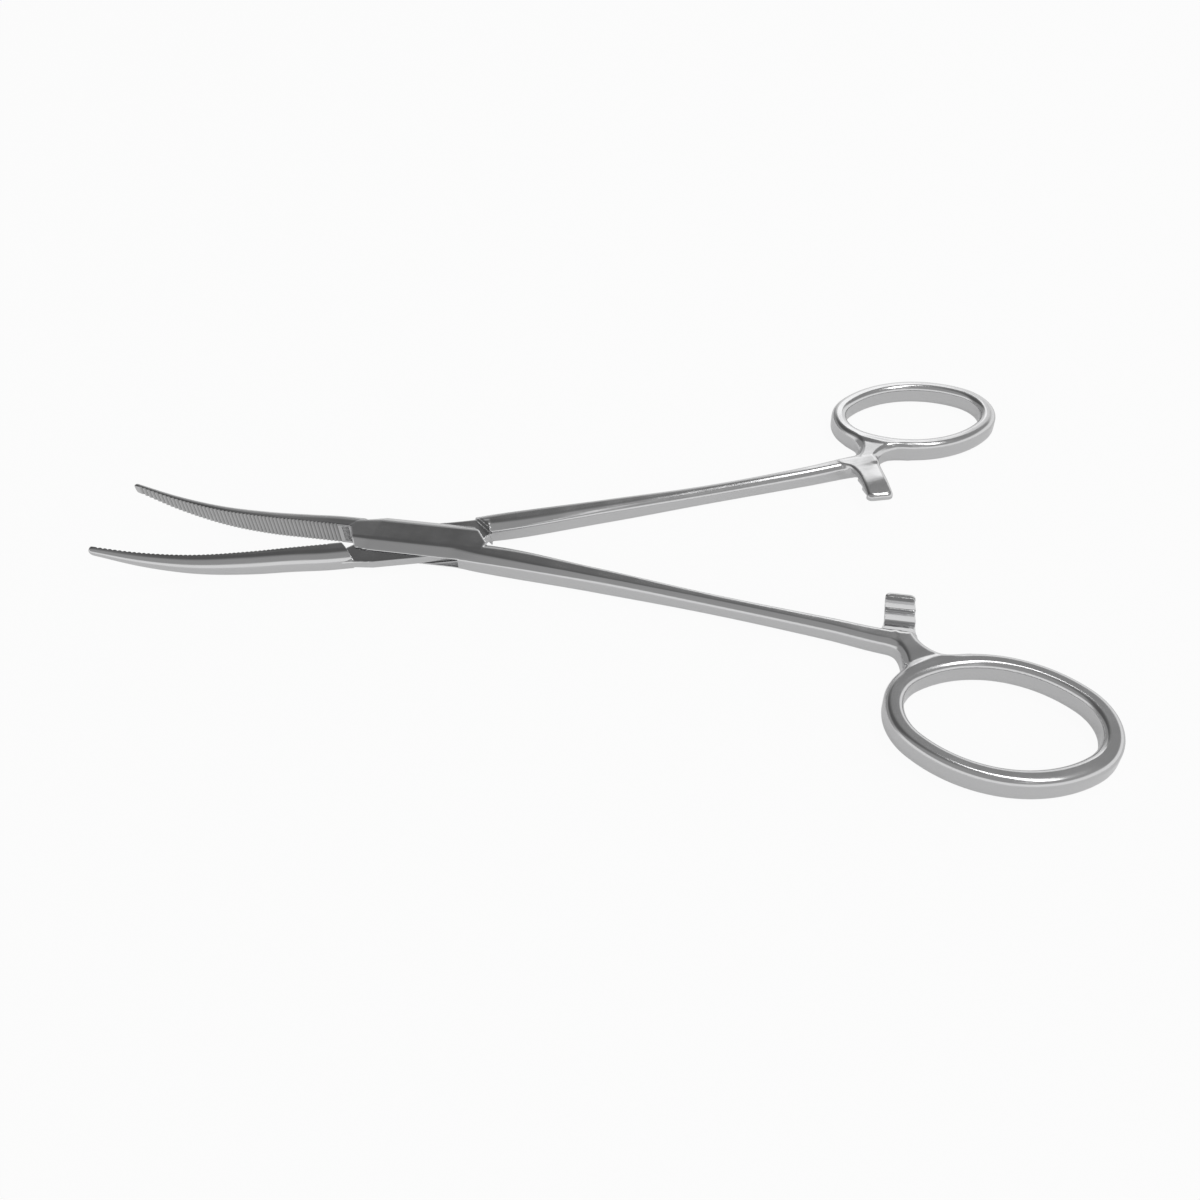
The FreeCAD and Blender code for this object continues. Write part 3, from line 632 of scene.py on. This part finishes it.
def makeFloor():
    # a plain white floor: lit as it lies, and partly bright by itself for the camera and for mirrors
    reach = studio["floor"]
    corners = np.array([(-1, -1), (1, -1), (1, 1), (-1, 1)]) * reach
    points = np.column_stack([corners, np.zeros(4)])
    mesh = bpy.data.meshes.new("studioFloor")
    mesh.from_pydata(points, [], [(0, 1, 2, 3)])
    floor = bpy.data.objects.new("studioFloor", mesh)
    bpy.context.scene.collection.objects.link(floor)
    material = bpy.data.materials.new("studioFloorWhite")
    material.use_nodes = True
    tree = material.node_tree
    tree.nodes.clear()
    rays = addNode(tree, "ShaderNodeLightPath", (-800, 200))
    matte = addNode(tree, "ShaderNodeBsdfDiffuse", (-400, -100), Color=studio["floorColour"])
    bright = addNode(tree, "ShaderNodeEmission", (-400, -300), Strength=1.0)
    mirror = addNode(tree, "ShaderNodeMath", (-600, 100), operation="ADD")
    mirrorShare = addNode(tree, "ShaderNodeMath", (-400, 100), operation="MULTIPLY")
    mirrorShare.inputs[1].default_value = studio["mirrorShare"]
    share = addNode(tree, "ShaderNodeMath", (-200, 200), operation="MULTIPLY_ADD")
    share.inputs[1].default_value = studio["cameraShare"]
    mixed = addNode(tree, "ShaderNodeMixShader", (0, 0))
    end = addNode(tree, "ShaderNodeOutputMaterial", (200, 0))
    link = tree.links.new
    link(rays.outputs["Is Glossy Ray"], mirror.inputs[0])
    link(rays.outputs["Is Transmission Ray"], mirror.inputs[1])
    link(mirror.outputs["Value"], mirrorShare.inputs[0])
    link(rays.outputs["Is Camera Ray"], share.inputs[0])
    link(mirrorShare.outputs["Value"], share.inputs[2])
    link(share.outputs["Value"], mixed.inputs["Fac"])
    link(matte.outputs["BSDF"], mixed.inputs[1])
    link(bright.outputs["Emission"], mixed.inputs[2])
    link(mixed.outputs["Shader"], end.inputs["Surface"])
    floor.data.materials.append(material)


def makeWorld():
    # a room with bright walls, darker above, darkest at the back on the left; the camera sees it
    # white, and so do mirrors low down
    world = bpy.data.worlds.new("studioRoom")
    bpy.context.scene.world = world
    world.use_nodes = True
    tree = world.node_tree
    tree.nodes.clear()
    link = tree.links.new
    where = addNode(tree, "ShaderNodeTexCoord", (-1600, 0))
    parts = addNode(tree, "ShaderNodeSeparateXYZ", (-1400, 0))
    link(where.outputs["Generated"], parts.inputs["Vector"])

    def blend(axis, span, low, high, place):
        # a value that goes smoothly from low to high over a span of directions along an axis
        node = addNode(tree, "ShaderNodeMapRange", place, interpolation_type="SMOOTHSTEP")
        node.inputs["From Min"].default_value, node.inputs["From Max"].default_value = span
        for name, value in (("To Min", low), ("To Max", high)):
            if isinstance(value, bpy.types.NodeSocket):
                link(value, node.inputs[name])
            else:
                node.inputs[name].default_value = value
        link(parts.outputs[axis], node.inputs["Value"])
        return node.outputs["Result"]

    back = blend("X", studio["leftToRight"], studio["back"], studio["backRight"], (-1000, 200))
    upper = blend("Y", studio["frontToBack"], studio["front"], back, (-800, 200))
    lowBack = blend("X", studio["lowLeftToRight"], studio["lowBack"], studio["wall"], (-1000, -100))
    lower = blend("Y", studio["frontToBack"], studio["wall"], lowBack, (-800, -100))
    total = blend("Z", studio["lowToHigh"], lower, upper, (-600, 100))
    for i, (direction, width, power) in enumerate(studio["windows"]):
        along = addNode(tree, "ShaderNodeVectorMath", (-1000, -400 - 200 * i), operation="DOT_PRODUCT")
        along.inputs[1].default_value = Vector(direction).normalized()
        patch = addNode(tree, "ShaderNodeMapRange", (-800, -400 - 200 * i), interpolation_type="SMOOTHSTEP")
        patch.inputs["From Min"].default_value = math.cos(math.radians(width))
        patch.inputs["From Max"].default_value = math.cos(math.radians(width / 2))
        patch.inputs["To Max"].default_value = power
        both = addNode(tree, "ShaderNodeMath", (-400, -200 * i), operation="MAXIMUM")
        link(where.outputs["Generated"], along.inputs[0])
        link(along.outputs["Value"], patch.inputs["Value"])
        link(patch.outputs["Result"], both.inputs[0])
        link(total, both.inputs[1])
        total = both.outputs["Value"]
    rays = addNode(tree, "ShaderNodeLightPath", (-800, 600))
    low = addNode(tree, "ShaderNodeMath", (-800, 400), operation="LESS_THAN")
    low.inputs[1].default_value = studio["mirrorLow"]
    mirror = addNode(tree, "ShaderNodeMath", (-600, 600), operation="ADD")
    mirrorLow = addNode(tree, "ShaderNodeMath", (-400, 600), operation="MULTIPLY")
    seen = addNode(tree, "ShaderNodeMath", (-200, 600), operation="ADD", use_clamp=True)
    room = addNode(tree, "ShaderNodeBackground", (-200, 0))
    white = addNode(tree, "ShaderNodeBackground", (-200, -200), Strength=1.0)
    mixed = addNode(tree, "ShaderNodeMixShader", (0, 0))
    end = addNode(tree, "ShaderNodeOutputWorld", (200, 0))
    white.inputs["Color"].default_value = (1, 1, 1, 1)
    room.inputs["Color"].default_value = (1, 1, 1, 1)
    link(parts.outputs["Z"], low.inputs[0])
    link(rays.outputs["Is Glossy Ray"], mirror.inputs[0])
    link(rays.outputs["Is Transmission Ray"], mirror.inputs[1])
    link(mirror.outputs["Value"], mirrorLow.inputs[0])
    link(low.outputs["Value"], mirrorLow.inputs[1])
    link(rays.outputs["Is Camera Ray"], seen.inputs[0])
    link(mirrorLow.outputs["Value"], seen.inputs[1])
    link(total, room.inputs["Strength"])
    link(seen.outputs["Value"], mixed.inputs["Fac"])
    link(room.outputs["Background"], mixed.inputs[1])
    link(white.outputs["Background"], mixed.inputs[2])
    link(mixed.outputs["Shader"], end.inputs["Surface"])


def makeSoftbox():
    # a long rectangular lamp over the rings, turned to the middle of the instrument
    light = bpy.data.lights.new("overheadSoftbox", "AREA")
    light.shape = "RECTANGLE"
    light.size, light.size_y = lamp["size"]
    light.energy = lamp["power"]
    softbox = bpy.data.objects.new("overheadSoftbox", light)
    bpy.context.scene.collection.objects.link(softbox)
    softbox.location = lamp["place"]
    softbox.rotation_mode = "QUATERNION"
    aim = Vector(lamp["target"]) - Vector(lamp["place"])
    softbox.rotation_quaternion = aim.to_track_quat("-Z", "Y")


makeFloor()
makeWorld()
makeSoftbox()

view = {
    # degrees and millimetres, found by matching the joint, tips and rings
    "azimuth": 8.54, "elevation": 42.39, "roll": -5.2, "distance": 150.25,
    "target": (28.11, -14.79, 2.0), "nearest": 5.0, "sensor": 36,
    "focalPixels": 975.83, "principal": (587.01, 604.27), "picture": 1200,
}


def makeCamera():
    # a camera that looks at the target, rolled about its own axis, with the picture's middle shifted
    camera = bpy.data.objects.new("photoCamera", bpy.data.cameras.new("photoCamera"))
    bpy.context.scene.collection.objects.link(camera)
    a, e, roll = (math.radians(view[k]) for k in ("azimuth", "elevation", "roll"))
    back = Vector((math.sin(a) * math.cos(e), -math.cos(a) * math.cos(e), math.sin(e)))
    right = Vector((math.cos(a), math.sin(a), 0))
    up = back.cross(right)
    turned = math.cos(roll) * right + math.sin(roll) * up
    lifted = math.cos(roll) * up - math.sin(roll) * right
    place = (Vector(view["target"]) + back * view["distance"]) * mm
    camera.matrix_world = Matrix((
        (turned.x, lifted.x, back.x, place.x), (turned.y, lifted.y, back.y, place.y),
        (turned.z, lifted.z, back.z, place.z), (0, 0, 0, 1)))
    camera.data.sensor_width = view["sensor"]
    camera.data.lens = view["focalPixels"] / view["picture"] * camera.data.sensor_width
    camera.data.shift_x = 0.5 - view["principal"][0] / view["picture"]
    camera.data.shift_y = view["principal"][1] / view["picture"] - 0.5
    camera.data.clip_start = view["nearest"] * mm
    bpy.context.scene.camera = camera


makeCamera()
bpy.context.scene.view_settings.view_transform = "Standard"
print("studio and camera ready")
